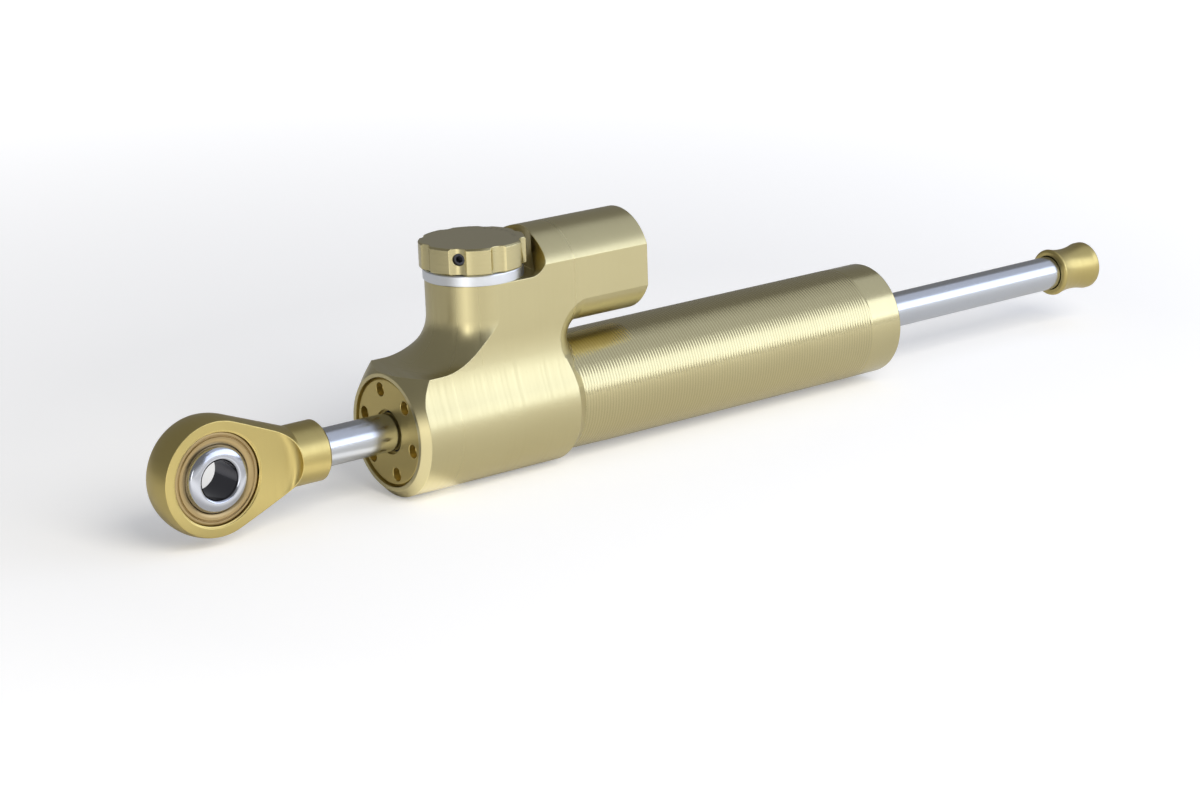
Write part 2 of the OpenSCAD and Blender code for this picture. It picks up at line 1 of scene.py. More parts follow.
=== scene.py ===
"""Looks of a through-rod steering damper: pale gold anodised body, polished rod, bronze and steel rod end.

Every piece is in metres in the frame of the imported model: +X runs along the rod to the rear end cap,
+Z up the adjuster tower, and the origin is the centre of the ball in the rod end.
"""

import math

import bpy
import numpy as np
from mathutils import Matrix, Vector


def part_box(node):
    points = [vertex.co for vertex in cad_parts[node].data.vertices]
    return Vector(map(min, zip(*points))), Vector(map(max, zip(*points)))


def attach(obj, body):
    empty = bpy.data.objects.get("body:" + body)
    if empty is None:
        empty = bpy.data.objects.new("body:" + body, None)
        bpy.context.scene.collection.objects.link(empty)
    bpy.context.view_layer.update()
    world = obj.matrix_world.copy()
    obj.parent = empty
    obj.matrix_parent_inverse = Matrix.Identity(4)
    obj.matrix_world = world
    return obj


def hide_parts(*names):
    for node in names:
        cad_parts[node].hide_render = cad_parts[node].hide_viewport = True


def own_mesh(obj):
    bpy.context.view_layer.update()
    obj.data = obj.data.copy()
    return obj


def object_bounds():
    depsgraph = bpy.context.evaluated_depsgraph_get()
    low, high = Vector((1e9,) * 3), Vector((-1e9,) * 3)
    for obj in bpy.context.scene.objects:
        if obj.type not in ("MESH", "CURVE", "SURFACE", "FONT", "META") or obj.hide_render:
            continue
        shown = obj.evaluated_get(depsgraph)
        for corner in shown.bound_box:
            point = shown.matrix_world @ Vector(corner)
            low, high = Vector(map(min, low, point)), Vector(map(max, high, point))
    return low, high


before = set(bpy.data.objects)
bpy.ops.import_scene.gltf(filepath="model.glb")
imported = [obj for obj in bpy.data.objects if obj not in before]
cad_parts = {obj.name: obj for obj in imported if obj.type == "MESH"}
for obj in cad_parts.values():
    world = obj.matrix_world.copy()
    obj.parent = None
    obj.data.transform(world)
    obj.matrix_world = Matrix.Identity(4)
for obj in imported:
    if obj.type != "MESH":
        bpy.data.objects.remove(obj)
cad_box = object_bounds()

MM = 0.001
TAU = 2 * math.pi

# Camera fitted to the photograph: angles in degrees, distances in millimetres
PHOTO_WIDTH = 1200
FOCAL_PX = 2886.24
SENSOR = 36.0
CAMERA_AZIMUTH = -37.478
CAMERA_ELEVATION = 15.976
CAMERA_ROLL = -1.919
CAMERA_AIM = (76.594, 14.759)
CAMERA_DISTANCE = 564.424

# The middle of the damper, in metres
MIDDLE = (0.12, 0.0, 0.0)

# The cool white of the lamps in front, and the warm white that evens it out on the floor
KEY_COLOUR = (0.93, 1.03, 1.3)
FLOOR_LAMP_COLOUR = (1.05, 1.0, 0.9)

# The bright wedge of the floor: where it starts along X in metres, and its angle from -X in degrees
WEDGE_TIP = 0.06
WEDGE_TURN = 34

# Half the floor's width and the room's brightness: everywhere, and added low down in front
FLOOR_HALF = 6.0
ROOM_LEVEL = 0.24
ROOM_LOW_FRONT = 0.72

# The tube in millimetres: pitch and depth of its turned grooves, the smooth band at its rear end, the
# length inside the head, the thinner neck behind that and its wall
GROOVE_PITCH = 0.75
GROOVE_DEPTH = 0.07
SMOOTH_BAND = 8.8
TUBE_IN_HEAD = 8.0
NECK_DEPTH = 0.2
NECK_FADE = 12
TUBE_WALL = 1.3

# The steel ball in millimetres: its bolt hole, where its domed ends begin, their top and their bend
BALL_BORE = 4.0
DOME_EDGE = 6.4
DOME_TOP = 4.6
DOME_BEND = 0.185

# The scale of plain ticks on the knob: angles in degrees, the rest in millimetres
TICK_STEP = 9
TICK_REACH = 40
TICK_RADIUS = 8.75
TICK_HALF_LENGTH = 0.45
TICK_HALF_WIDTH = 0.14

# Sharp edges of metal get a painted highlight: their colour is brighter by this factor, in this share
EDGE_HIGHLIGHT_GAIN = 1.5
EDGE_HIGHLIGHT_SHARE = 0.7

# Colours as red, green and blue from 0 to 1, as they look on a screen
CHAMPAGNE = (0.815, 0.772, 0.59)
MATTE_GOLD = (0.81, 0.735, 0.47)
GOLD_SHADE = (0.62, 0.55, 0.36)
CHROME = (0.80, 0.81, 0.82)
STEEL = (0.72, 0.72, 0.77)
BALL_STEEL = (0.76, 0.77, 0.79)
BLACK_STEEL = (0.26, 0.26, 0.28)
BRONZE = (0.69, 0.60, 0.43)
BRASS = (0.80, 0.66, 0.34)
PALE_RING = (0.90, 0.91, 0.92)
# The colour of the knob's ticks, and also painted shade at the bottom of the tube's grooves
TICK_AND_PAINTED_GROOVE_SHADE = (0.5, 0.44, 0.29)
# Painted shade inside the ball's bolt hole
PAINTED_BORE_SHADE = (0.36, 0.36, 0.38)
RUBBER = (0.06, 0.06, 0.06)
PLASTIC = (0.88, 0.86, 0.80)


def linear(colour, alpha=1.0):
    """Screen colour to linear light: c / 12.92 below 0.04045, else ((c + 0.055) / 1.055) ** 2.4."""
    c = np.array(colour, float)
    low = c / 12.92
    high = ((c + 0.055) / 1.055) ** 2.4
    return (*np.where(c < 0.04045, low, high).tolist(), alpha)


# Meshes


def mesh_piece(name, points, faces, body, material):
    """A piece from arrays of points and quads, smooth, on its body and with its material."""
    mesh = bpy.data.meshes.new(name)
    mesh.vertices.add(len(points))
    mesh.vertices.foreach_set("co", points.astype(np.float32).ravel())
    mesh.loops.add(faces.size)
    mesh.loops.foreach_set("vertex_index", faces.astype(np.int32).ravel())
    mesh.polygons.add(len(faces))
    mesh.polygons.foreach_set("loop_start", np.arange(0, faces.size, faces.shape[1], dtype=np.int32))
    mesh.polygons.foreach_set("use_smooth", np.ones(len(faces), bool))
    mesh.update(calc_edges=True)
    mesh.validate()
    piece = bpy.data.objects.new(name, mesh)
    bpy.context.scene.collection.objects.link(piece)
    mesh.materials.append(material)
    even = piece.modifiers.new("Even normals", "WEIGHTED_NORMAL")
    even.weight = 100
    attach(piece, body)
    return piece


def grid_faces(rows, columns, wrap_rows, wrap_columns):
    """Quads (i, j), (i + 1, j), (i + 1, j + 1), (i, j + 1) of a grid of points, joined up where it wraps."""
    i = np.arange(rows if wrap_rows else rows - 1)[:, None]
    j = np.arange(columns if wrap_columns else columns - 1)[None, :]
    down, right = (i + 1) % rows, (j + 1) % columns
    corners = [i * columns + j, down * columns + j, down * columns + right, i * columns + right]
    return np.stack(np.broadcast_arrays(*corners), -1).reshape(-1, 4)


def arc(centre, radius, start, end, steps):
    """Points centre + radius (cos t, sin t) with t from start to end in degrees."""
    t = np.radians(np.linspace(start, end, steps + 1))
    return np.stack([centre[0] + radius * np.cos(t), centre[1] + radius * np.sin(t)], 1)


def rounded(corners, fillets, steps=5):
    """Outline with an arc at each corner whose fillet isn't 0. The arc touches both sides at fillet /
    tan(half the corner's angle) from the corner, and its centre lies on the bisector at fillet /
    sin(half). An open outline has fillet 0 at both ends."""
    corners = np.array(corners, float)
    parts = []
    for k, (corner, fillet) in enumerate(zip(corners, fillets)):
        if fillet == 0:
            parts.append(corner[None, :])
            continue
        back = corners[k - 1] - corner
        ahead = corners[(k + 1) % len(corners)] - corner
        back /= np.hypot(*back)
        ahead /= np.hypot(*ahead)
        half = math.acos(float(np.clip(back @ ahead, -1, 1))) / 2
        middle = (back + ahead) / np.hypot(*(back + ahead))
        centre = corner + middle * fillet / math.sin(half)
        first = corner + back * fillet / math.tan(half) - centre
        last = corner + ahead * fillet / math.tan(half) - centre
        t = np.linspace(0, 1, steps + 1)[:, None]
        turn = math.pi - 2 * half
        swept = (np.sin((1 - t) * turn) * first + np.sin(t * turn) * last) / math.sin(turn)
        parts.append(centre + swept)
    return np.concatenate(parts)


def turned(outline, direction, centre=(0.0, 0.0, 0.0), steps=128):
    """Points of an outline of (along, radius) turned about an axis: along * d + radius * (cos t u + sin t w),
    where u, w and d are a right-handed frame. Rows follow the outline and columns the turn."""
    d = np.array(direction, float)
    u = np.array([d[1], d[2], d[0]])
    w = np.cross(d, u)
    t = np.linspace(0, TAU, steps, endpoint=False)
    spoke = np.cos(t)[:, None] * u + np.sin(t)[:, None] * w
    return np.array(centre) + outline[:, None, :1] * d + outline[:, None, 1:] * spoke[None]


def turned_piece(name, outline, direction, body, material, centre=(0, 0, 0), steps=128):
    """A closed ring: an outline in millimetres of (along, radius) turned a whole turn about an axis.
    The outline runs anticlockwise in (along, radius), which makes its faces point outwards."""
    points = turned(outline * MM, direction, np.array(centre) * MM, steps).reshape(-1, 3)
    faces = grid_faces(len(outline), steps, True, True)[:, ::-1]
    return mesh_piece(name, points, faces, body, material)


# Shader node groups


def new_group(name, inputs, outputs):
    """An empty shader group with float, vector or colour sockets, and its input and output nodes."""
    tree = bpy.data.node_groups.new(name, "ShaderNodeTree")
    kinds = {"float": "NodeSocketFloat", "vector": "NodeSocketVector", "colour": "NodeSocketColor"}
    for label, kind, value in inputs:
        socket = tree.interface.new_socket(label, in_out="INPUT", socket_type=kinds[kind])
        if value is not None:
            socket.default_value = value
    for label, kind in outputs:
        tree.interface.new_socket(label, in_out="OUTPUT", socket_type=kinds[kind])
    return tree, tree.nodes.new("NodeGroupInput"), tree.nodes.new("NodeGroupOutput")


def node(tree, kind, links=None, **settings):
    """A node with its settings, and its inputs linked from sockets or set to plain values."""
    made = tree.nodes.new(kind)
    for key, value in settings.items():
        setattr(made, key, value)
    for key, value in (links or {}).items():
        if isinstance(value, bpy.types.NodeSocket):
            tree.links.new(value, made.inputs[key])
        else:
            made.inputs[key].default_value = value
    return made


def math_node(tree, operation, *values):
    """The result of a Math node on one to three sockets or numbers."""
    return node(tree, "ShaderNodeMath", dict(enumerate(values)), operation=operation).outputs[0]


def rounded_edges_group():
    """The normal as if every edge had a small radius, and a mask of 1 on those edges."""
    tree, given, out = new_group(
        "Rounded edges", [("Radius", "float", 0.2 * MM)], [("Normal", "vector"), ("Edge", "float")]
    )
    bevel = node(tree, "ShaderNodeBevel", {"Radius": given.outputs["Radius"]}, samples=8)
    surface = node(tree, "ShaderNodeNewGeometry")
    dot = node(tree, "ShaderNodeVectorMath", {0: bevel.outputs[0], 1: surface.outputs["Normal"]},
               operation="DOT_PRODUCT")
    lean = math_node(tree, "SUBTRACT", 1.0, dot.outputs["Value"])
    mask = node(tree, "ShaderNodeMapRange", {"Value": lean, "From Min": 0.01, "From Max": 0.12})
    tree.links.new(bevel.outputs[0], out.inputs["Normal"])
    tree.links.new(mask.outputs[0], out.inputs["Edge"])
    return tree


def tool_lines_group():
    """Fine cutter lines across a coordinate: two layers of one-dimensional noise, from 0 to 1."""
    tree, given, out = new_group(
        "Tool lines",
        [("Coordinate", "float", 0.0), ("Lines per metre", "float", 4000.0)],
        [("Height", "float"), ("Band", "float")],
    )
    fine = math_node(tree, "MULTIPLY", given.outputs[0], given.outputs[1])
    broad = math_node(tree, "MULTIPLY", fine, 0.12)
    layers = []
    for place, detail in ((fine, 2.0), (broad, 3.0)):
        noise = node(tree, "ShaderNodeTexNoise", {"W": place, "Scale": 1.0, "Detail": detail},
                     noise_dimensions="1D")
        layers.append(noise.outputs[0])
    tree.links.new(layers[0], out.inputs["Height"])
    tree.links.new(layers[1], out.inputs["Band"])
    return tree


def patina_group():
    """Slow cloudy change of a colour between itself and a deeper shade, as in a dyed oxide layer."""
    tree, given, out = new_group(
        "Patina",
        [("Colour", "colour", (0.8, 0.8, 0.8, 1)), ("Shade", "colour", (0.5, 0.5, 0.5, 1)),
         ("Amount", "float", 0.15), ("Scale", "float", 60.0), ("Place", "vector", None)],
        [("Colour", "colour")],
    )
    cloud = node(tree, "ShaderNodeTexNoise",
                 {"Vector": given.outputs["Place"], "Scale": given.outputs["Scale"], "Detail": 4.0})
    share = math_node(tree, "MULTIPLY", cloud.outputs[0], given.outputs["Amount"])
    mix = node(tree, "ShaderNodeMix", {0: share, 6: given.outputs["Colour"], 7: given.outputs["Shade"]},
               data_type="RGBA")
    tree.links.new(mix.outputs[2], out.inputs["Colour"])
    return tree


ROUNDED_EDGES = rounded_edges_group()
TOOL_LINES = tool_lines_group()
PATINA = patina_group()


def group_node(tree, group, links):
    """A group placed in a material with its own values."""
    made = tree.nodes.new("ShaderNodeGroup")
    made.node_tree = group
    for key, value in links.items():
        if isinstance(value, bpy.types.NodeSocket):
            tree.links.new(value, made.inputs[key])
        else:
            made.inputs[key].default_value = value
    return made


def new_material(name):
    """A material with a Principled shader, its tree, and Object coordinates with their parts."""
    material = bpy.data.materials.new(name)
    material.use_nodes = True
    tree = material.node_tree
    tree.nodes.clear()
    shader = node(tree, "ShaderNodeBsdfPrincipled")
    node(tree, "ShaderNodeOutputMaterial", {"Surface": shader.outputs[0]})
    place = node(tree, "ShaderNodeTexCoord").outputs["Object"]
    parts = node(tree, "ShaderNodeSeparateXYZ", {0: place}).outputs
    return material, tree, shader, place, parts


def finish_metal(tree, shader, place, lines, colour, shade, rough, spread, bump, radius, amount=0.2,
                 marks_and_painted_shade=None, mark_and_shade_colour=TICK_AND_PAINTED_GROOVE_SHADE):
    """Metal from its tool lines: they vary the roughness by spread, and press a shallow relief into a
    surface whose edges are rounded by radius. Edges get a painted highlight, a brighter colour, and
    the knob's ticks and painted shade, given from 0 to 1, take the mark colour."""
    edges = group_node(tree, ROUNDED_EDGES, {"Radius": radius})
    cloud = group_node(tree, PATINA, {"Colour": linear(colour), "Shade": linear(shade),
                                      "Amount": amount, "Place": place})
    # Painted highlight: the colour goes brighter on sharp edges
    edge_highlight_share = math_node(tree, "MULTIPLY", edges.outputs["Edge"], EDGE_HIGHLIGHT_SHARE)
    edge_highlight_colour = (*[min(1.0, EDGE_HIGHLIGHT_GAIN * c) for c in linear(colour)[:3]], 1)
    bright = node(tree, "ShaderNodeMix", {0: edge_highlight_share, 6: cloud.outputs["Colour"], 7: edge_highlight_colour},
                  data_type="RGBA")
    rough_map = node(tree, "ShaderNodeMapRange",
                     {"Value": lines.outputs["Band"], "From Min": 0.25, "From Max": 0.75,
                      "To Min": rough - spread, "To Max": rough + spread})
    relief = node(tree, "ShaderNodeBump",
                  {"Height": lines.outputs["Height"], "Strength": bump, "Distance": 0.02 * MM,
                   "Normal": edges.outputs["Normal"]})
    if marks_and_painted_shade is not None:
        bright = node(tree, "ShaderNodeMix",
                      {0: marks_and_painted_shade, 6: bright.outputs[2], 7: linear(mark_and_shade_colour)}, data_type="RGBA")
    tree.links.new(bright.outputs[2], shader.inputs["Base Color"])
    tree.links.new(rough_map.outputs[0], shader.inputs["Roughness"])
    tree.links.new(relief.outputs[0], shader.inputs["Normal"])
    shader.inputs["Metallic"].default_value = 1.0


def angle_about_z(tree, parts, centre_x, radius):
    """Distance round an upright axis at centre_x: radius * atan2(y, x - centre_x)."""
    x = math_node(tree, "SUBTRACT", parts[0], centre_x)
    return math_node(tree, "MULTIPLY", math_node(tree, "ARCTAN2", parts[1], x), radius)


def metal(name, colour, shade, rough, spread, bump, radius, lines_per_metre, along=0, amount=0.25):
    """Turned or ground metal with tool lines across one axis of the object."""
    material, tree, shader, place, parts = new_material(name)
    lines = group_node(tree, TOOL_LINES,
                       {"Coordinate": parts[along], "Lines per metre": lines_per_metre})
    finish_metal(tree, shader, place, lines, colour, shade, rough, spread, bump, radius, amount)
    return material


def soft_material(name, colour, rough, grain_scale, bump):
    """Rubber or moulded plastic: one colour that wavers a little, with a fine grain pressed into it."""
    material, tree, shader, place, _ = new_material(name)
    grain = node(tree, "ShaderNodeTexNoise", {"Vector": place, "Scale": grain_scale, "Detail": 3.0})
    deep = tuple(0.7 * c for c in colour)
    cloud = group_node(tree, PATINA, {"Colour": linear(colour), "Shade": linear(deep),
                                      "Amount": 0.3, "Place": place, "Scale": 200.0})
    relief = node(tree, "ShaderNodeBump", {"Height": grain.outputs[0], "Strength": bump,
                                           "Distance": 0.02 * MM})
    rough_map = node(tree, "ShaderNodeMapRange", {"Value": grain.outputs[0], "To Min": rough - 0.08,
                                                  "To Max": rough + 0.08})
    tree.links.new(cloud.outputs["Colour"], shader.inputs["Base Color"])
    tree.links.new(rough_map.outputs[0], shader.inputs["Roughness"])
    tree.links.new(relief.outputs[0], shader.inputs["Normal"])
    return material


# Driving places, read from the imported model, in millimetres


def span(name):
    """Lowest and highest corner of a CAD node in millimetres."""
    low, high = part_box(name)
    return np.array(low) / MM, np.array(high) / MM


tube_low, tube_high = span("damper_tube")
ring_low, ring_high = span("tower_ring")
knob_top = span("adjuster_knob")[1][2]
tower_x = (ring_low[0] + ring_high[0]) / 2


def head_gold():
    """The head: lines round the lower body, and upright lines on the tower and in the hollow at its foot."""
    material, tree, shader, place, parts = new_material("head_gold")
    above = node(tree, "ShaderNodeMapRange", {"Value": parts[2], "From Min": 12.0 * MM,
                                              "From Max": 13.0 * MM}).outputs[0]
    before = node(tree, "ShaderNodeMapRange", {"Value": parts[0], "From Min": (tower_x + 0.5) * MM,
                                               "From Max": (tower_x - 0.5) * MM}).outputs[0]
    on_tower = math_node(tree, "MULTIPLY", above, before)
    round_tower = angle_about_z(tree, parts, tower_x * MM, 10 * MM)
    across = node(tree, "ShaderNodeMix", {0: on_tower, 2: parts[0], 3: round_tower})
    lines = group_node(tree, TOOL_LINES, {"Coordinate": across.outputs[0], "Lines per metre": 9000.0})
    finish_metal(tree, shader, place, lines, CHAMPAGNE, GOLD_SHADE, 0.32, 0.05, 0.06, 0.25 * MM)
    return material


def ball_steel():
    """The ball: lines round the bolt hole, and painted shade inside it, a darker colour in the hole."""
    material, tree, shader, place, parts = new_material("ball_steel")
    lines = group_node(tree, TOOL_LINES, {"Coordinate": parts[1], "Lines per metre": 9000.0})
    # Painted shade: the colour goes dark within the bolt hole's radius
    flat = node(tree, "ShaderNodeVectorMath", {0: place, 1: (1, 0, 1)}, operation="MULTIPLY")
    reach = node(tree, "ShaderNodeVectorMath", {0: flat.outputs[0]}, operation="LENGTH")
    inside = node(tree, "ShaderNodeMapRange",
                  {"Value": reach.outputs["Value"], "From Min": (BALL_BORE + 0.25) * MM,
                   "From Max": (BALL_BORE + 0.1) * MM}).outputs[0]
    finish_metal(tree, shader, place, lines, BALL_STEEL, STEEL, 0.16, 0.03, 0.05, 0.05 * MM,
                 marks_and_painted_shade=inside, mark_and_shade_colour=PAINTED_BORE_SHADE)
    return material


def tube_gold():
    """The tube: lines round it, and painted shade, a darker colour, at the bottom of each turned groove."""
    material, tree, shader, place, parts = new_material("tube_gold")
    # Painted shade: the colour darkens towards the bottom of each groove, but not on the smooth band
    phase = math_node(tree, "MULTIPLY", parts[0], TAU / (GROOVE_PITCH * MM))
    groove = math_node(tree, "MULTIPLY_ADD", math_node(tree, "COSINE", phase), -0.5, 0.5)
    band = tube_high[0] - SMOOTH_BAND
    on_grooves = node(tree, "ShaderNodeMapRange", {"Value": parts[0], "From Min": band * MM,
                                                   "From Max": (band - 0.1) * MM}).outputs[0]
    painted_groove_shade = math_node(tree, "MULTIPLY", math_node(tree, "POWER", groove, 2.0), on_grooves)
    lines = group_node(tree, TOOL_LINES, {"Coordinate": parts[0], "Lines per metre": 5000.0})
    finish_metal(tree, shader, place, lines, CHAMPAGNE, GOLD_SHADE, 0.2, 0.03, 0.05, 0.05 * MM,
                 marks_and_painted_shade=math_node(tree, "MULTIPLY", painted_groove_shade, 0.25))
    return material


def knob_gold():
    """The knob: lines round it, and a scale of plain engraved ticks on top near the reservoir."""
    material, tree, shader, place, parts = new_material("knob_gold")
    lines = group_node(tree, TOOL_LINES, {"Coordinate": parts[2], "Lines per metre": 9000.0})
    x = math_node(tree, "SUBTRACT", parts[0], tower_x * MM)
    turn = math_node(tree, "ARCTAN2", parts[1], x)
    squares = [math_node(tree, "MULTIPLY", v, v) for v in (x, parts[1])]
    reach = math_node(tree, "SQRT", math_node(tree, "ADD", *squares))
    step = math.radians(TICK_STEP)
    count = math_node(tree, "ROUND", math_node(tree, "DIVIDE", turn, step))
    past = math_node(tree, "SUBTRACT", turn, math_node(tree, "MULTIPLY", count, step))
    aside = math_node(tree, "MULTIPLY", math_node(tree, "ABSOLUTE", past), reach)
    on_tick = math_node(tree, "LESS_THAN", aside, TICK_HALF_WIDTH * MM)
    off_ring = math_node(tree, "ABSOLUTE", math_node(tree, "SUBTRACT", reach, TICK_RADIUS * MM))
    on_ring = math_node(tree, "LESS_THAN", off_ring, TICK_HALF_LENGTH * MM)
    on_scale = math_node(tree, "LESS_THAN", math_node(tree, "ABSOLUTE", turn), math.radians(TICK_REACH))
    on_top = math_node(tree, "GREATER_THAN", parts[2], (knob_top - 0.05) * MM)
    ticks = math_node(tree, "MULTIPLY", math_node(tree, "MULTIPLY", on_tick, on_ring),
                      math_node(tree, "MULTIPLY", on_scale, on_top))
    finish_metal(tree, shader, place, lines, CHAMPAGNE, GOLD_SHADE, 0.24, 0.04, 0.06, 0.25 * MM,
                 marks_and_painted_shade=ticks)
    return material


# Pieces


def grooved_tube(material):
    """The long tube: fine turned grooves r = R - depth (1 - cos(2 pi x / pitch)) / 2, a smooth band at the
    rear end with a rounded edge, and the bore. R grows from the neck behind the head to the full size."""
    outer = tube_high[1]
    neck = outer - NECK_DEPTH
    bore = outer - TUBE_WALL
    start, end = tube_low[0] + TUBE_IN_HEAD, tube_high[0]
    band = end - SMOOTH_BAND
    turns = int((band - start) / GROOVE_PITCH)
    x = np.linspace(start, start + turns * GROOVE_PITCH, turns * 6 + 1)
    top = np.interp(x, [start, start + NECK_FADE], [neck, outer])
    r = top - GROOVE_DEPTH * (1 - np.cos(TAU * x / GROOVE_PITCH)) / 2
    grooves = np.stack([x, r], 1)
    rest = rounded([(band, outer - 0.12), (band + 0.25, outer - 0.02), (end, outer - 0.02),
                    (end, bore), (tube_low[0], bore), (tube_low[0], neck), (start, neck)],
                   [0, 0.2, 0.45, 0.15, 0, 0, 0])
    outline = np.concatenate([grooves, rest])[::-1]
    piece = turned_piece("grooved_tube", outline, (1, 0, 0), "housing", material, steps=112)
    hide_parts("damper_tube")


def swivel_ball(material):
    """The steel ball: a sphere with domed ends y = half - bend (r - top) ** 2 round a bevelled hole."""
    radius, half, _ = span("rod_end_ball")[1]
    bore = BALL_BORE
    tilt = math.degrees(math.acos(DOME_EDGE / radius))
    sphere = arc((0, 0), radius, 90 - tilt, 90 + tilt, 36)
    r = np.linspace(bore + 0.55, DOME_EDGE, 10)[:-1]
    dome = np.stack([half - DOME_BEND * (r - DOME_TOP) ** 2, r], 1)
    bevel = np.array([(half - 0.6, bore), (half - 0.35, bore + 0.04), (half - 0.08, bore + 0.4)])
    mouth = np.concatenate([bevel, dome])
    outline = np.concatenate([mouth, sphere, mouth[::-1] * np.array([-1, 1])])
    piece = turned_piece("swivel_ball", outline, (0, 1, 0), "ball", material, steps=144)
    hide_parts("rod_end_ball")


def bronze_race(material):
    """The race: a ring with a bevelled rim, a staking groove in both faces and a spherical seat."""
    outer, half, _ = span("rod_end_race")[1]
    seat = 7.63
    tilt = math.degrees(math.asin(half / seat))
    bore = arc((0, 0), seat, 90 + tilt - 2, 90 - tilt + 2, 32)
    lip = math.sqrt(seat ** 2 - half ** 2) + 0.25
    face = rounded([(half, lip), (half, outer - 1.15), (half - 0.3, outer - 0.95),
                    (half, outer - 0.75), (half, outer), (0.5, outer)], [0, 0.08, 0.08, 0.1, 0.45, 0])
    mirrored = face[::-1] * np.array([-1, 1])
    outline = np.concatenate([bore, face, mirrored])
    piece = turned_piece("bronze_race", outline, (0, 1, 0), "rod", material, steps=144)
    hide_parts("rod_end_race")


def pale_ring(material):
    """The ring under the knob, turned about the tower, with softly rounded edges."""
    inner, outer = 6.3, ring_high[1]
    low, high = ring_low[2], ring_high[2]
    outline = rounded([(low, inner), (high, inner), (high, outer), (low, outer)], [0.1, 0.1, 0.45, 0.2])
    outline = outline[::-1]
    piece = turned_piece("pale_ring", outline, (0, 0, 1), "housing", material,
                         (tower_x, 0, 0))
    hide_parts("tower_ring")


def sprung_coil(material):
    """The relief valve's spring: its own copy of the coil, on the housing, in place of the CAD node."""
    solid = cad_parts["relief_spring"]
    mesh = solid.data.copy()
    mesh.transform(solid.matrix_world)
    mesh.materials.clear()
    mesh.materials.append(material)
    piece = bpy.data.objects.new("sprung_coil", mesh)
    bpy.context.scene.collection.objects.link(piece)
    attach(piece, "housing")
    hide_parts("relief_spring")
    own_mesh(piece)


def dress_nodes(table):
    """Gives CAD nodes that stay their material."""
    for material, names in table:
        for name in names:
            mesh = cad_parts[name].data
            mesh.materials.clear()
            mesh.materials.append(material)


# Materials of the object

gold_head = head_gold()
gold_tube = tube_gold()
gold_knob = knob_gold()
gold_matte = metal("matte_gold", MATTE_GOLD, GOLD_SHADE, 0.36, 0.05, 0.1, 0.3 * MM, 9000.0)
chrome_rod = metal("chrome_rod", CHROME, STEEL, 0.22, 0.03, 0.05, 0.05 * MM, 7000.0, amount=0.1)
bright_ball = ball_steel()
plain_steel = metal("ground_steel", STEEL, STEEL, 0.3, 0.05, 0.2, 0.1 * MM, 6000.0)
black_steel = metal("black_steel", BLACK_STEEL, BLACK_STEEL, 0.25, 0.05, 0.1, 0.1 * MM, 6000.0)
race_bronze = metal("race_bronze", BRONZE, GOLD_SHADE, 0.3, 0.06, 0.2, 0.08 * MM, 6000.0, along=1)
bush_bronze = metal("bush_bronze", BRONZE, GOLD_SHADE, 0.35, 0.05, 0.2, 0.08 * MM, 6000.0)
turned_brass = metal("turned_brass", BRASS, BRONZE, 0.3, 0.05, 0.2, 0.08 * MM, 6000.0, along=2)
ring_satin = metal("ring_satin", PALE_RING, PALE_RING, 0.34, 0.04, 0.1, 0.1 * MM, 9000.0, along=2)
black_rubber = soft_material("black_rubber", RUBBER, 0.55, 3000.0, 0.3)
slide_plastic = soft_material("slide_plastic", PLASTIC, 0.4, 2000.0, 0.1)

dress_nodes([
    (gold_head, ["head_block"]),
    (gold_knob, ["adjuster_knob", "reservoir_lid"]),
    (gold_matte, ["rod_end_housing", "rear_end_cap", "front_gland", "rear_gland"]),
    (chrome_rod, ["piston_rod"]),
    (plain_steel, ["piston", "inner_cylinder", "adjuster_shaft", "needle_valve", "detent_ball",
                   "relief_poppet"]),
    (black_steel, ["piston_circlips", "knob_set_screw", "shaft_circlip", "detent_spring",
                   "reservoir_circlip", "gas_plug"]),
    (bush_bronze, ["front_bush", "rear_bush"]),
    (turned_brass, ["adjuster_bush", "valve_seat", "relief_seat"]),
    (black_rubber, ["piston_oring", "cylinder_oring", "front_gland_oring", "front_rod_seal",
                    "front_wiper", "rear_gland_oring", "rear_rod_seal", "rear_wiper",
                    "adjuster_bush_oring", "shaft_oring", "floating_piston_oring",
                    "reservoir_lid_oring"]),
    (slide_plastic, ["piston_band", "floating_piston"]),
])
grooved_tube(gold_tube)
swivel_ball(bright_ball)
bronze_race(race_bronze)
pale_ring(ring_satin)
sprung_coil(black_steel)


# Studio


def photo_camera():
    """The camera that took the photograph: back, right and up from its angles, then the roll."""
    a, e, roll = (math.radians(v) for v in (CAMERA_AZIMUTH, CAMERA_ELEVATION, CAMERA_ROLL))
    back = np.array([math.sin(a) * math.cos(e), -math.cos(a) * math.cos(e), math.sin(e)])
    right = np.cross([0, 0, 1], back)
    right /= np.linalg.norm(right)
    up = np.cross(back, right)
    turn = np.array([[math.cos(roll), math.sin(roll)], [-math.sin(roll), math.cos(roll)]])
    right, up = turn @ np.stack([right, up])
    axes = np.stack([right, up, back], 1)
    place = axes @ np.array([*CAMERA_AIM, CAMERA_DISTANCE]) * MM
    data = bpy.data.cameras.new("camera")
    data.sensor_width = SENSOR
    data.lens = FOCAL_PX / PHOTO_WIDTH * SENSOR
    data.clip_start = 0.01
    data.clip_end = 50
    camera = bpy.data.objects.new("camera", data)
    bpy.context.scene.collection.objects.link(camera)
    matrix = np.eye(4)
    matrix[:3, :3] = axes
    matrix[:3, 3] = place
    camera.matrix_world = Matrix(matrix.tolist())
    bpy.context.scene.camera = camera


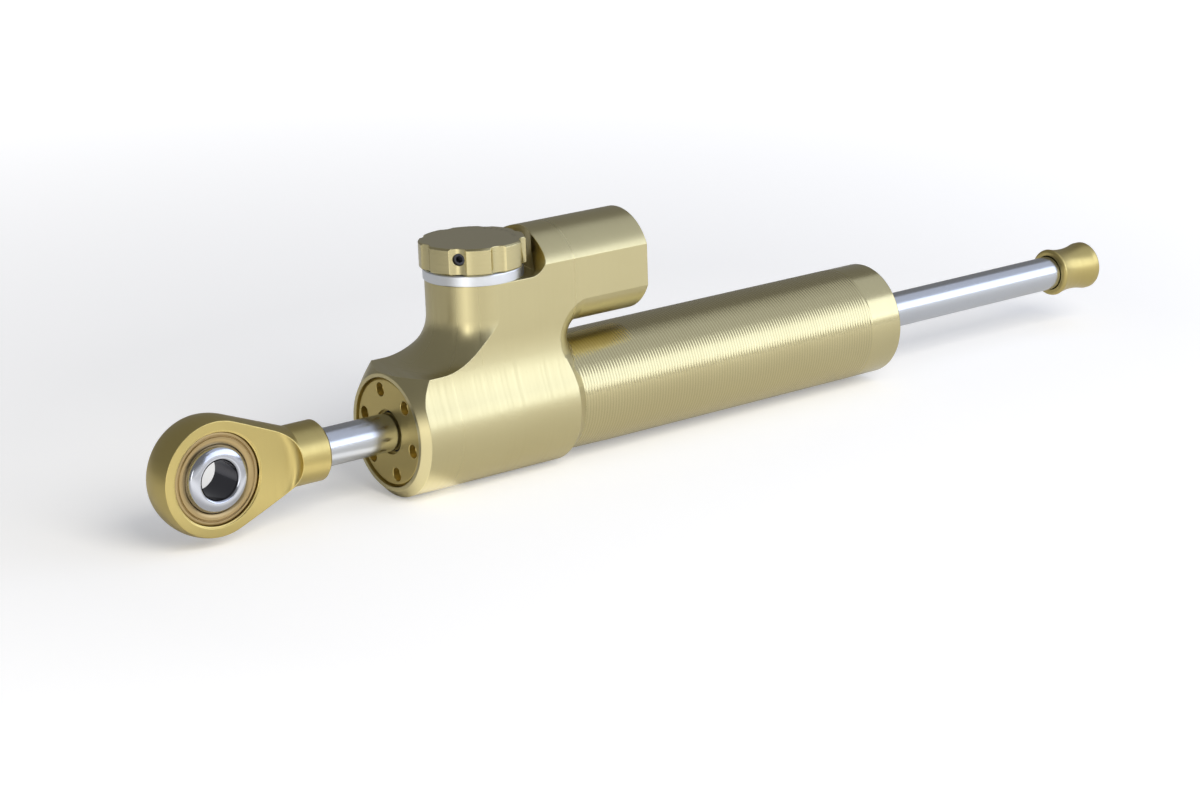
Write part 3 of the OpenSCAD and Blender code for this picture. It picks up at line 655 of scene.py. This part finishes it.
def area_light(name, aim, direction, distance, size, radiance, colour=(1, 1, 1)):
    """A soft rectangular lamp of a given radiance, power = radiance * pi * area, which faces its aim."""
    data = bpy.data.lights.new(name, "AREA")
    data.shape = "RECTANGLE"
    data.size, data.size_y = size
    data.energy = radiance * math.pi * size[0] * size[1]
    data.color = colour
    lamp = bpy.data.objects.new(name, data)
    bpy.context.scene.collection.objects.link(lamp)
    d = Vector(direction).normalized()
    lamp.location = Vector(aim) + distance * d
    lamp.rotation_euler = d.to_track_quat("Z", "Y").to_euler()
    return lamp


def ramp(tree, value, start, end, low, high):
    """A value mapped from start..end to low..high, and held at low and high beyond them."""
    return node(tree, "ShaderNodeMapRange", {"Value": value, "From Min": start, "From Max": end,
                                             "To Min": low, "To Max": high}).outputs[0]


def floor_glow(tree):
    """How much the floor is lifted. The camera sees it lifted a little, and to white far away, where the
    lamps don't reach. Reflections see it lifted in front of the damper, as if by a white card, and more
    in a wedge at the front left, which gives the tower its glint."""
    path = node(tree, "ShaderNodeLightPath")
    place = node(tree, "ShaderNodeNewGeometry").outputs["Position"]
    parts = node(tree, "ShaderNodeSeparateXYZ", {0: place}).outputs
    reach = node(tree, "ShaderNodeVectorMath", {0: place, 1: MIDDLE}, operation="DISTANCE")
    lift = ramp(tree, reach.outputs["Value"], 0.15, 0.8, 0.28, 1.0)
    card = ramp(tree, parts[1], -0.008, -0.05, 0.0, 0.12)
    x = math_node(tree, "SUBTRACT", WEDGE_TIP, parts[0])
    turn = math_node(tree, "ARCTAN2", math_node(tree, "MULTIPLY", parts[1], -1.0), x)
    aside = math_node(tree, "ABSOLUTE", math_node(tree, "SUBTRACT", turn, math.radians(WEDGE_TURN)))
    wedge = ramp(tree, aside, math.radians(22), math.radians(8), 0.0, 0.58)
    mirror = math_node(tree, "MAXIMUM", path.outputs["Is Glossy Ray"],
                       path.outputs["Is Transmission Ray"])
    seen = math_node(tree, "MULTIPLY", path.outputs["Is Camera Ray"], lift)
    reflected = math_node(tree, "MULTIPLY", mirror, math_node(tree, "ADD", card, wedge))
    return math_node(tree, "ADD", seen, reflected)


def pale_floor(height):
    """A wide white floor that keeps the shadow and glows a little as well."""
    ends = [-FLOOR_HALF, FLOOR_HALF]
    x, y = np.meshgrid(ends, ends, indexing="ij")
    points = np.stack([x, y, np.full_like(x, height)], -1).reshape(-1, 3)
    mesh = bpy.data.meshes.new("floor")
    mesh.from_pydata(points.tolist(), [], [(0, 2, 3, 1)])
    floor = bpy.data.objects.new("floor", mesh)
    bpy.context.scene.collection.objects.link(floor)
    material = bpy.data.materials.new("pale_floor")
    material.use_nodes = True
    tree = material.node_tree
    tree.nodes.clear()
    diffuse = node(tree, "ShaderNodeBsdfDiffuse", {"Color": (0.8, 0.8, 0.8, 1)})
    glow = node(tree, "ShaderNodeEmission", {"Color": (1, 1, 1, 1), "Strength": floor_glow(tree)})
    both = node(tree, "ShaderNodeAddShader", {0: diffuse.outputs[0], 1: glow.outputs[0]})
    node(tree, "ShaderNodeOutputMaterial", {"Surface": both.outputs[0]})
    mesh.materials.append(material)


def studio_world():
    """White where the camera sees it, and a dim room elsewhere that is bright low down in front, where
    the card on the floor goes on."""
    world = bpy.data.worlds.new("studio")
    bpy.context.scene.world = world
    world.use_nodes = True
    tree = world.node_tree
    tree.nodes.clear()
    path = node(tree, "ShaderNodeLightPath")
    direction = node(tree, "ShaderNodeTexCoord").outputs["Generated"]
    view = node(tree, "ShaderNodeSeparateXYZ", {0: direction}).outputs
    low = ramp(tree, view[2], 0.3, 0.05, 0.0, 1.0)
    front = ramp(tree, view[1], -0.3, -0.7, 0.0, 1.0)
    level = math_node(tree, "MULTIPLY_ADD", math_node(tree, "MULTIPLY", low, front), ROOM_LOW_FRONT,
                      ROOM_LEVEL)
    room = node(tree, "ShaderNodeBackground", {"Color": (0.96, 0.97, 1.0, 1), "Strength": level})
    white = node(tree, "ShaderNodeBackground", {"Color": (1, 1, 1, 1), "Strength": 1.0})
    mix = node(tree, "ShaderNodeMixShader", {0: path.outputs["Is Camera Ray"], 1: room.outputs[0],
                                             2: white.outputs[0]})
    node(tree, "ShaderNodeOutputWorld", {"Surface": mix.outputs[0]})


photo_camera()
studio_world()
pale_floor(cad_box[0][2] - 0.0002)
area_light("key", MIDDLE, (0.585, -0.73, 0.36), 0.8, (1.2, 0.42), 1.25, KEY_COLOUR)
area_light("key_skirt", MIDDLE, (0.585, -0.42, 0.62), 0.85, (1.3, 1.2), 0.44, KEY_COLOUR)
area_light("left_strip", MIDDLE, (-0.8, -0.55, 0.13), 0.8, (0.2, 0.3), 2.2)

# Lights the floor alone, since metal reflects none of it, and casts the shadow behind the damper
floor_lamp = area_light("floor_lamp", MIDDLE, (-0.1, -0.83, 0.6), 1.0, (0.6, 0.6), 6.4,
                        FLOOR_LAMP_COLOUR)
floor_lamp.visible_glossy = False

bpy.context.scene.view_settings.view_transform = "Standard"
